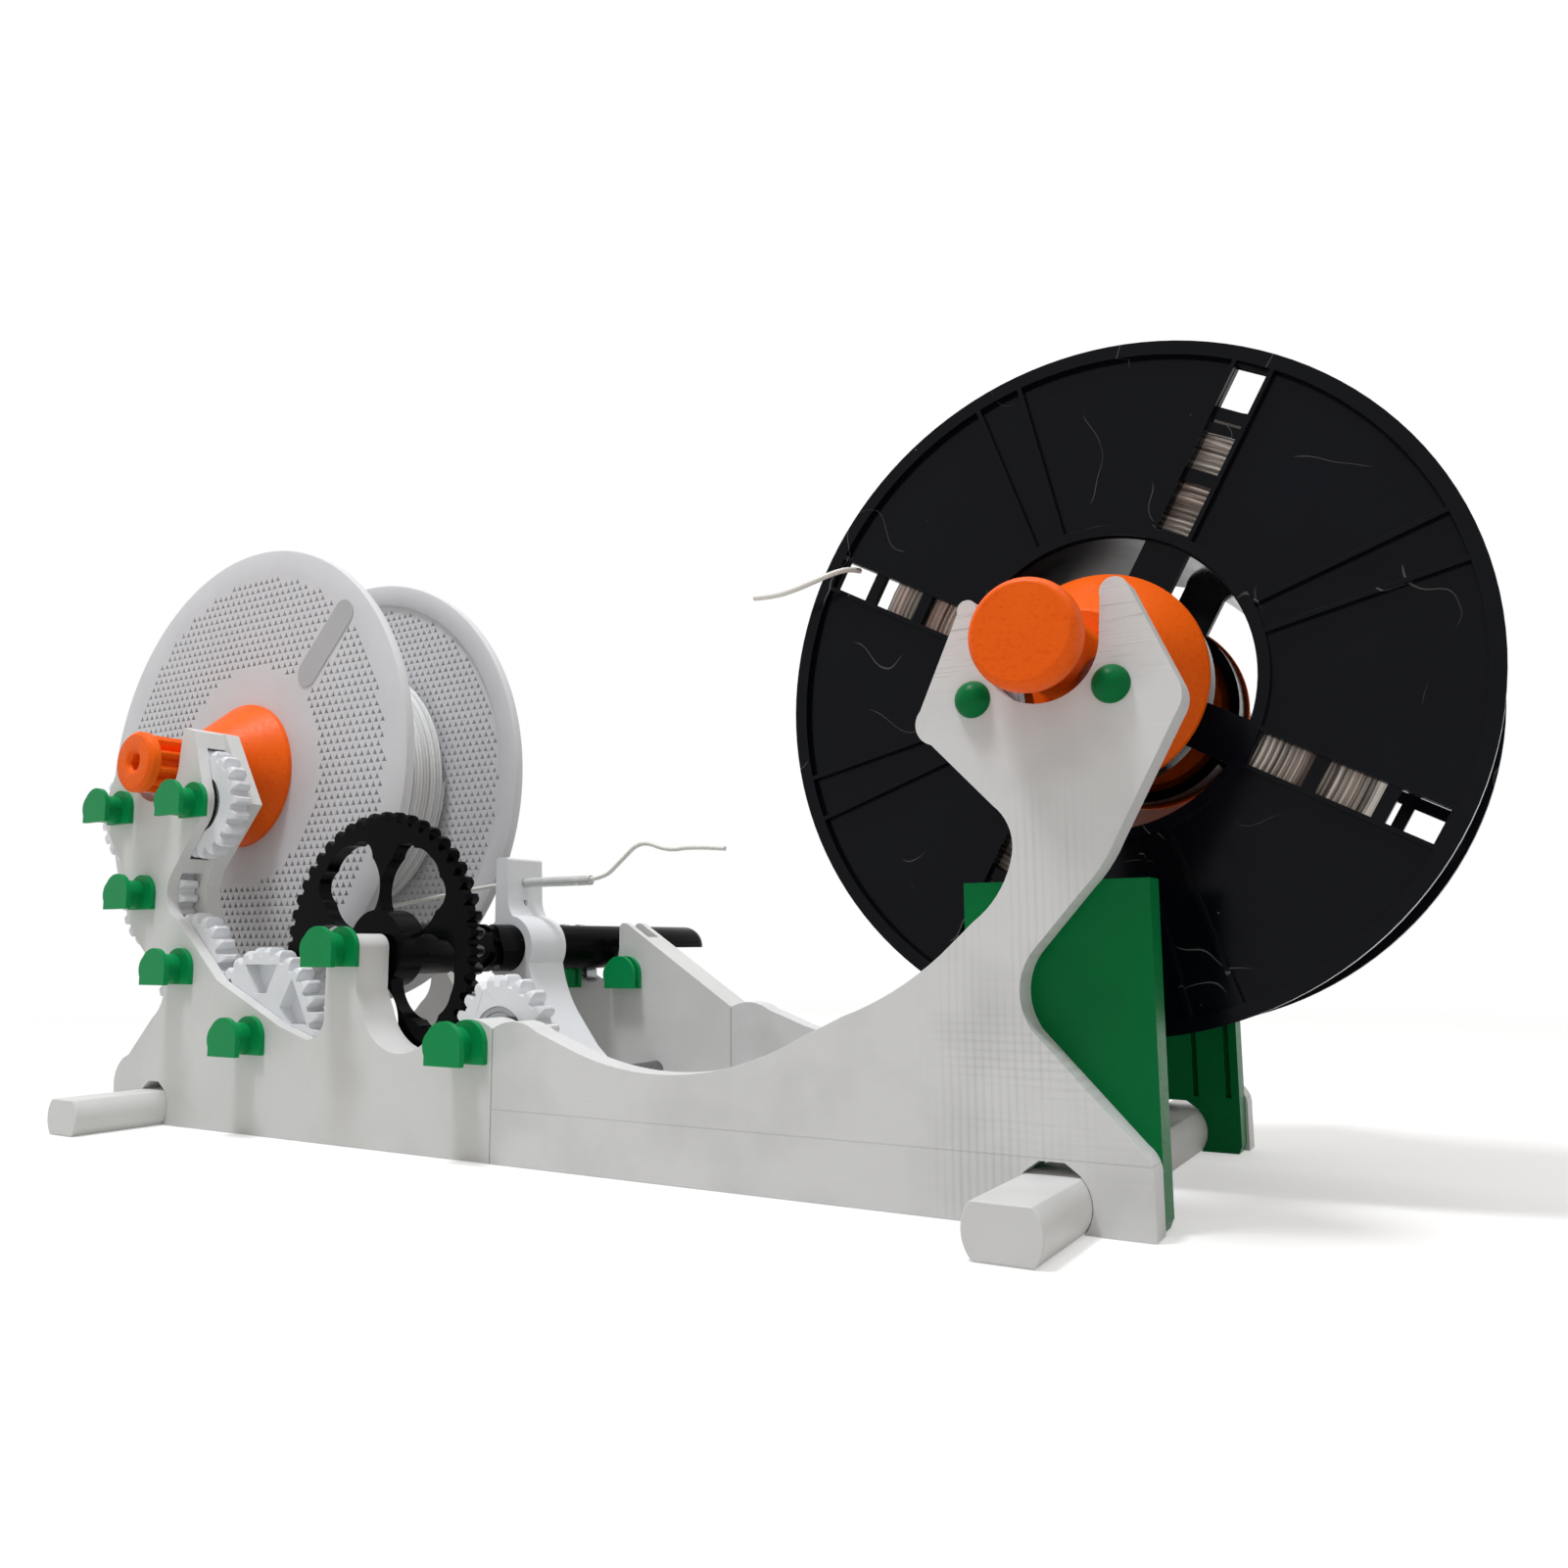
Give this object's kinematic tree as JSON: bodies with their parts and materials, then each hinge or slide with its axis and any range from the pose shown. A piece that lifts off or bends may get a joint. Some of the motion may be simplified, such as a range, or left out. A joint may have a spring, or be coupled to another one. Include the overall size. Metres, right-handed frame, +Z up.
{
  "type": "filament spool winder",
  "caption": "Printed bench winder that moves filament between two spools on bearing rollers, with a gear-driven grooved shaft and a sliding guide arm that lays the turns evenly.",
  "frame": {"origin": "on the floor under the middle of the box round the whole winder", "axes": "+X along the frames from the take-up spool to the supply spool, +Y from the front frame with the knobs to the rear frame, +Z up"},
  "size_m": [0.569, 0.249, 0.2404],
  "materials": {
    "white_printed": "satin layer lines",
    "green_printed": "satin layer lines",
    "orange_printed": "satin layer lines",
    "black_moulded": "moulded gloss",
    "white_spool": "moulded, thin lattice",
    "bearing_steel": "ground",
    "clear_filament": "smooth",
    "grey_filament": "smooth",
    "clear_tube": "clear"
  },
  "bodies": {
    "frame": {"front_frame_left": "white_printed", "front_frame_right": "white_printed", "rear_frame_left": "white_printed", "rear_frame_right": "white_printed", "cross_rod_left": "white_printed", "cross_rod_right": "white_printed", "front_brace_plate": "green_printed", "rear_brace_plate": "green_printed", "guide_rail": "bearing_steel", "idler_gear_pins": "green_printed", "compound_gear_pin": "green_printed", "shaft_front_pin": "green_printed", "end_gear_pin": "green_printed", "front_roller_pins": "green_printed", "rear_right_roller_pins": "green_printed", "rear_left_roller_pins": "green_printed", "shaft_roller_pins": "green_printed", "bearing_inner_rings": "bearing_steel"},
    "take_up_spool": {"take_up_axle": "orange_printed", "take_up_cone_front": "orange_printed", "take_up_cone_rear": "orange_printed", "take_up_end_knob": "orange_printed", "white_spool": "white_spool", "white_winding_core": "clear_filament", "white_winding_turns": "clear_filament"},
    "supply_spool": {"supply_axle": "orange_printed", "supply_cone_front": "orange_printed", "supply_cone_rear": "orange_printed", "supply_end_knob": "orange_printed", "black_spool": "black_moulded", "supply_winding_core": "grey_filament", "supply_winding_turns": "grey_filament", "supply_filament_end": "clear_filament"},
    "left_idler": {"idler_gear_left": "white_printed", "idler_left_bearing": "bearing_steel"},
    "right_idler": {"idler_gear_right": "white_printed", "idler_right_bearing": "bearing_steel"},
    "transfer": {"transfer_gear": "white_printed", "transfer_gear_bearing": "bearing_steel"},
    "lower": {"lower_gear": "white_printed", "lower_gear_bearing": "bearing_steel"},
    "compound": {"compound_gear": "white_printed", "compound_gear_bearing": "bearing_steel"},
    "level_wind": {"level_wind_shaft": "black_moulded", "shaft_front_bearing": "bearing_steel"},
    "end": {"end_gear": "white_printed", "end_gear_bearing": "bearing_steel"},
    "guide": {"guide_arm": "white_printed", "guide_tube": "clear_tube", "follower_pin": "bearing_steel", "filament_feed": "clear_filament"},
    "rear_left_roller_left_ring": {"rear_left_roller_left": "bearing_steel"},
    "rear_left_roller_right_ring": {"rear_left_roller_right": "bearing_steel"},
    "shaft_roller_left_ring": {"shaft_roller_left": "bearing_steel"},
    "shaft_roller_right_ring": {"shaft_roller_right": "bearing_steel"},
    "front_right_roller_left_ring": {"front_right_roller_left": "bearing_steel"},
    "front_right_roller_right_ring": {"front_right_roller_right": "bearing_steel"},
    "rear_right_roller_left_ring": {"rear_right_roller_left": "bearing_steel"},
    "rear_right_roller_right_ring": {"rear_right_roller_right": "bearing_steel"}
  },
  "joints": [
    {"name": "take_up_spin", "type": "hinge", "parent": "frame", "child": "take_up_spool", "pos_m": [-0.1845, -0.0905, 0.1404], "axis": [0, 1, 0], "continuous": true},
    {"name": "supply_spin", "type": "hinge", "parent": "frame", "child": "supply_spool", "pos_m": [0.1845, -0.0905, 0.1404], "axis": [0, 1, 0], "continuous": true},
    {"name": "left_idler_spin", "type": "hinge", "parent": "frame", "child": "left_idler", "pos_m": [-0.20908, -0.0811, 0.12319], "axis": [0, 1, 0], "continuous": true},
    {"name": "right_idler_spin", "type": "hinge", "parent": "frame", "child": "right_idler", "pos_m": [-0.15993, -0.0811, 0.12319], "axis": [0, 1, 0], "continuous": true},
    {"name": "transfer_spin", "type": "hinge", "parent": "frame", "child": "transfer", "pos_m": [-0.19023, -0.0811, 0.08791], "axis": [0, 1, 0], "continuous": true},
    {"name": "lower_spin", "type": "hinge", "parent": "frame", "child": "lower", "pos_m": [-0.16275, -0.0811, 0.05885], "axis": [0, 1, 0], "continuous": true},
    {"name": "compound_spin", "type": "hinge", "parent": "frame", "child": "compound", "pos_m": [-0.1181, -0.0811, 0.0342], "axis": [0, 1, 0], "continuous": true},
    {"name": "level_wind_spin", "type": "hinge", "parent": "frame", "child": "level_wind", "pos_m": [-0.06957, -0.0705, 0.06596], "axis": [0, 1, 0], "continuous": true},
    {"name": "end_spin", "type": "hinge", "parent": "frame", "child": "end", "pos_m": [-0.00861, -0.0705, 0.03583], "axis": [0, 1, 0], "continuous": true},
    {"name": "rear_left_roller_left_spin", "type": "hinge", "parent": "frame", "child": "rear_left_roller_left_ring", "pos_m": [-0.20211, 0.0525, 0.12807], "axis": [0, 1, 0], "continuous": true},
    {"name": "rear_left_roller_right_spin", "type": "hinge", "parent": "frame", "child": "rear_left_roller_right_ring", "pos_m": [-0.16689, 0.0525, 0.12807], "axis": [0, 1, 0], "continuous": true},
    {"name": "shaft_roller_left_spin", "type": "hinge", "parent": "frame", "child": "shaft_roller_left_ring", "pos_m": [-0.08632, 0.0525, 0.05423], "axis": [0, 1, 0], "continuous": true},
    {"name": "shaft_roller_right_spin", "type": "hinge", "parent": "frame", "child": "shaft_roller_right_ring", "pos_m": [-0.05282, 0.0525, 0.05423], "axis": [0, 1, 0], "continuous": true},
    {"name": "front_right_roller_left_spin", "type": "hinge", "parent": "frame", "child": "front_right_roller_left_ring", "pos_m": [0.16689, -0.0785, 0.12807], "axis": [0, 1, 0], "continuous": true},
    {"name": "front_right_roller_right_spin", "type": "hinge", "parent": "frame", "child": "front_right_roller_right_ring", "pos_m": [0.20211, -0.0785, 0.12807], "axis": [0, 1, 0], "continuous": true},
    {"name": "rear_right_roller_left_spin", "type": "hinge", "parent": "frame", "child": "rear_right_roller_left_ring", "pos_m": [0.16689, 0.0415, 0.12807], "axis": [0, 1, 0], "continuous": true},
    {"name": "rear_right_roller_right_spin", "type": "hinge", "parent": "frame", "child": "rear_right_roller_right_ring", "pos_m": [0.20211, 0.0415, 0.12807], "axis": [0, 1, 0], "continuous": true},
    {"name": "guide_slide", "type": "slide", "parent": "frame", "child": "guide", "axis": [0, 1, 0], "range_m": [-0.0475, 0.0065]}
  ],
  "couplings": [
    {"joint": "left_idler_spin", "follows": "take_up_spin", "ratio": -0.5},
    {"joint": "right_idler_spin", "follows": "take_up_spin", "ratio": -0.5},
    {"joint": "transfer_spin", "follows": "take_up_spin", "ratio": 0.5},
    {"joint": "lower_spin", "follows": "take_up_spin", "ratio": -0.5},
    {"joint": "compound_spin", "follows": "take_up_spin", "ratio": 0.32258},
    {"joint": "level_wind_spin", "follows": "take_up_spin", "ratio": -0.067204},
    {"joint": "end_spin", "follows": "take_up_spin", "ratio": 0.16129},
    {"joint": "rear_left_roller_left_spin", "follows": "take_up_spin", "ratio": -0.95},
    {"joint": "rear_left_roller_right_spin", "follows": "take_up_spin", "ratio": -0.95},
    {"joint": "shaft_roller_left_spin", "follows": "take_up_spin", "ratio": 0.057429},
    {"joint": "shaft_roller_right_spin", "follows": "take_up_spin", "ratio": 0.057429},
    {"joint": "front_right_roller_left_spin", "follows": "supply_spin", "ratio": -0.95},
    {"joint": "front_right_roller_right_spin", "follows": "supply_spin", "ratio": -0.95},
    {"joint": "rear_right_roller_left_spin", "follows": "supply_spin", "ratio": -0.95},
    {"joint": "rear_right_roller_right_spin", "follows": "supply_spin", "ratio": -0.95}
  ]
}
